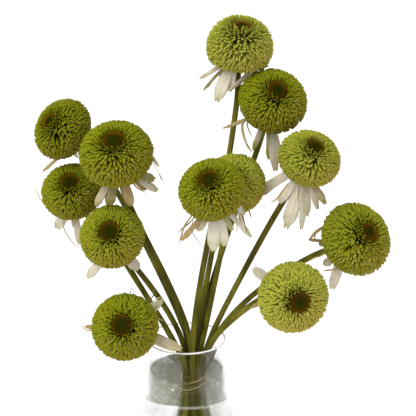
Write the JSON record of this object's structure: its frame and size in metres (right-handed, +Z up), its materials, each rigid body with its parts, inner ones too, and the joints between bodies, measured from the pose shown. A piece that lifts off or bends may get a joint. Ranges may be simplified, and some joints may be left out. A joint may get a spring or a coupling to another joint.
{
  "type": "bunch of coneflowers in a vase",
  "caption": "Tied bunch of double green coneflowers with drooping white petals and sunken cones, standing in a clear glass vase of water with an upright neck.",
  "frame": {"origin": "centre of the vase's flat underside", "axes": "+Z up along the vase's axis, -Y the front that the bunch is arranged to be seen from, +X the viewer's right"},
  "size_m": [0.2891, 0.1559, 0.4167],
  "materials": {
    "glass": "clear hand-blown glass with a softly mottled neck",
    "water": "clear still water with a faint grey-green tint",
    "florets": "matt lime to olive-green petal tissue",
    "cone": "matt rust-brown bristles round a dark green middle",
    "petals": "satin white petal tissue with greenish, torn tips",
    "stem": "satin dark olive-green, finely ribbed",
    "tie": "twisted tan twine",
    "leaf": "satin dark green leaf"
  },
  "bodies": {
    "root": {"vase": "glass", "water": "water", "tie_string": "tie", "leaf": "leaf", "bloom_01_florets": "florets", "bloom_01_cone": "cone", "bloom_01_petals": "petals", "bloom_01_stem": "stem", "bloom_02_florets": "florets", "bloom_02_cone": "cone", "bloom_02_petals": "petals", "bloom_02_stem": "stem", "bloom_03_florets": "florets", "bloom_03_cone": "cone", "bloom_03_petals": "petals", "bloom_03_stem": "stem", "bloom_04_florets": "florets", "bloom_04_cone": "cone", "bloom_04_petals": "petals", "bloom_04_stem": "stem", "bloom_05_florets": "florets", "bloom_05_cone": "cone", "bloom_05_petals": "petals", "bloom_05_stem": "stem", "bloom_06_florets": "florets", "bloom_06_cone": "cone", "bloom_06_petals": "petals", "bloom_06_stem": "stem", "bloom_07_florets": "florets", "bloom_07_cone": "cone", "bloom_07_petals": "petals", "bloom_07_stem": "stem", "bloom_08_florets": "florets", "bloom_08_cone": "cone", "bloom_08_petals": "petals", "bloom_08_stem": "stem", "bloom_09_florets": "florets", "bloom_09_cone": "cone", "bloom_09_petals": "petals", "bloom_09_stem": "stem", "bloom_10_florets": "florets", "bloom_10_cone": "cone", "bloom_10_petals": "petals", "bloom_10_stem": "stem", "bloom_11_florets": "florets", "bloom_11_cone": "cone", "bloom_11_petals": "petals", "bloom_11_stem": "stem", "bloom_12_florets": "florets", "bloom_12_cone": "cone", "bloom_12_petals": "petals", "bloom_12_stem": "stem"}
  },
  "joints": []
}
